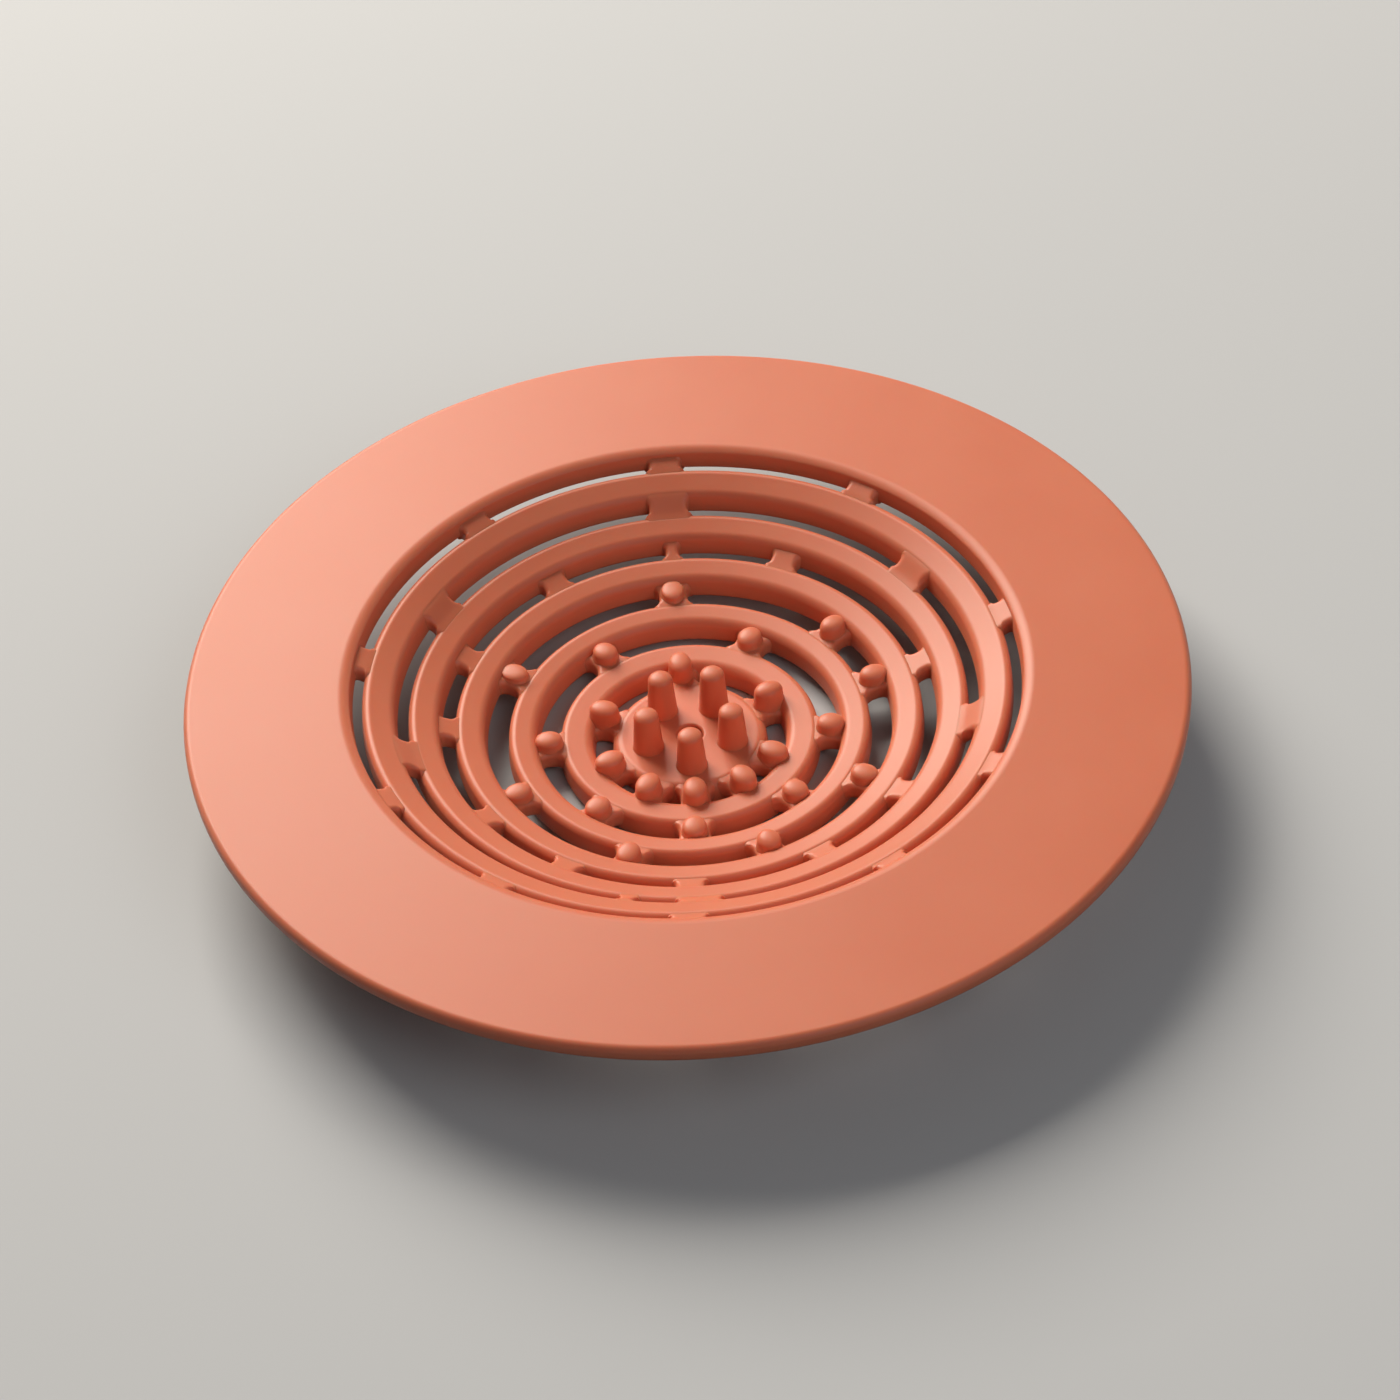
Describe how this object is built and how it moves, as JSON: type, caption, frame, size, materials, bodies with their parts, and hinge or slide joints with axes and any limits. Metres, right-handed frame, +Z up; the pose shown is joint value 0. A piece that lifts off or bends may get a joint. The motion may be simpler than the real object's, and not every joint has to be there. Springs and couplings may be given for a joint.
{
  "type": "sink strainer",
  "caption": "Round moulded silicone sink strainer: flat brim, shallow bowl of slotted concentric rings joined by bridges, small nubs and tall pegs that catch food scraps.",
  "frame": {"origin": "centre of the bowl's flat underside, where it stands on a table", "axes": "+Z up along the strainer's axis, out of the bowl; +Y away from the picture's camera, +X to its right"},
  "size_m": [0.114, 0.114, 0.0134],
  "materials": {
    "silicone": "satin moulded silicone, coral"
  },
  "bodies": {
    "root": {"brim": "silicone", "lip": "silicone", "ring_1": "silicone", "ring_2": "silicone", "ring_3": "silicone", "ring_4": "silicone", "ring_5": "silicone", "disc": "silicone", "bridges_1": "silicone", "bridges_2": "silicone", "bridges_3": "silicone", "bridges_4": "silicone", "bridges_5": "silicone", "bridges_6": "silicone", "nubs_4": "silicone", "nubs_5": "silicone", "nubs_6": "silicone", "pegs": "silicone"}
  },
  "joints": []
}
